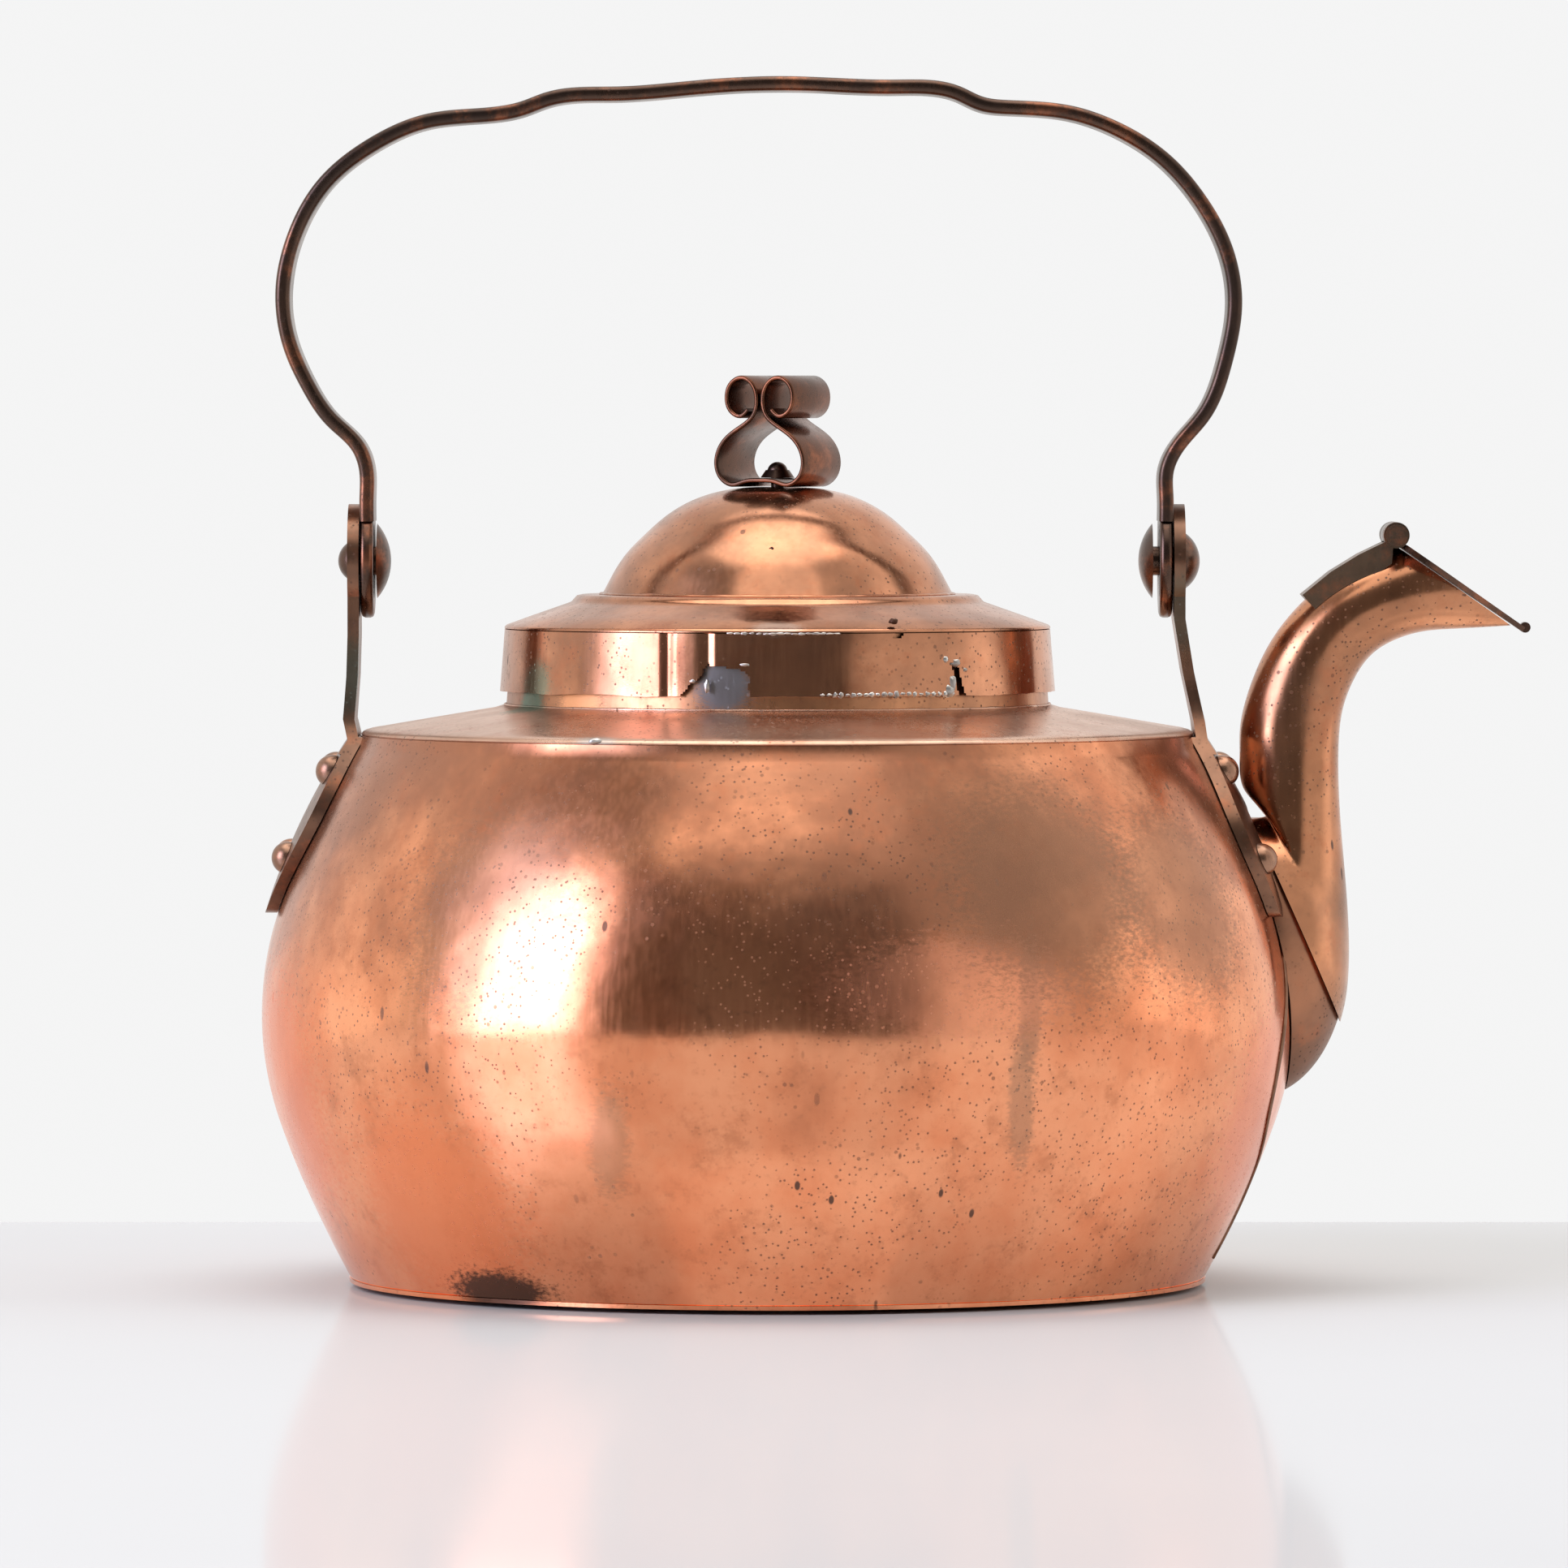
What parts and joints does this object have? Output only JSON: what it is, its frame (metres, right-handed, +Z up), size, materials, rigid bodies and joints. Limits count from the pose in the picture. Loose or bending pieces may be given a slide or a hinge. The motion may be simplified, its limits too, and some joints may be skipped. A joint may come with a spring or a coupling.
{
  "type": "coffee pot",
  "caption": "Round-bellied sheet-metal pot with a swinging strap bail, a lift-off domed lid, and a beaked side spout closed by a hinged flap.",
  "frame": {"origin": "centre of the flat underside of the base, where the pot stands on a table", "axes": "+X towards the spout, +Z up, the bail swings about a line along X"},
  "size_m": [0.3129, 0.2548, 0.2973],
  "materials": {
    "copper_body": "worn burnished copper with brown patina, tinned inside",
    "copper_spout": "burnished copper with brown patina",
    "brass_hinge": "dark brazed metal",
    "copper_lug": "dark patinated copper",
    "copper_rivet": "worn copper",
    "copper_bail": "dark brown patinated copper",
    "copper_lid": "worn burnished copper with brown patina"
  },
  "bodies": {
    "pot": {"body_wall": "copper_body", "base_plate": "copper_body", "shoulder_plate": "copper_body", "neck_collar": "copper_body", "spout_root": "copper_spout", "spout_tube": "copper_spout", "spout_hinge_leaf": "brass_hinge", "spout_hinge_pin": "brass_hinge", "lug_back": "copper_lug", "lug_front": "copper_lug", "lug_back_rivets": "copper_rivet", "lug_front_rivets": "copper_rivet", "pivot_rivet_back": "copper_rivet", "pivot_rivet_front": "copper_rivet"},
    "bail": {"bail_handle": "copper_bail"},
    "flap": {"spout_flap": "copper_spout"},
    "lid": {"lid_skirt": "copper_lid", "lid_top": "copper_lid", "lid_dome": "copper_lid", "lid_knob": "copper_lid", "knob_rivet": "copper_rivet", "knob_washer": "copper_rivet"}
  },
  "joints": [
    {"name": "bail_swing", "type": "hinge", "parent": "pot", "child": "bail", "pos_m": [0, 0, 0.1782], "axis": [1, 0, 0], "range_deg": [-108, 108]},
    {"name": "lid_lift", "type": "slide", "parent": "pot", "child": "lid", "axis": [0, 0, 1], "range_m": [0, 0.06]},
    {"name": "flap_hinge", "type": "hinge", "parent": "pot", "child": "flap", "pos_m": [0.152, 0, 0.1846], "axis": [0, -1, 0], "range_deg": [0, 100]}
  ]
}
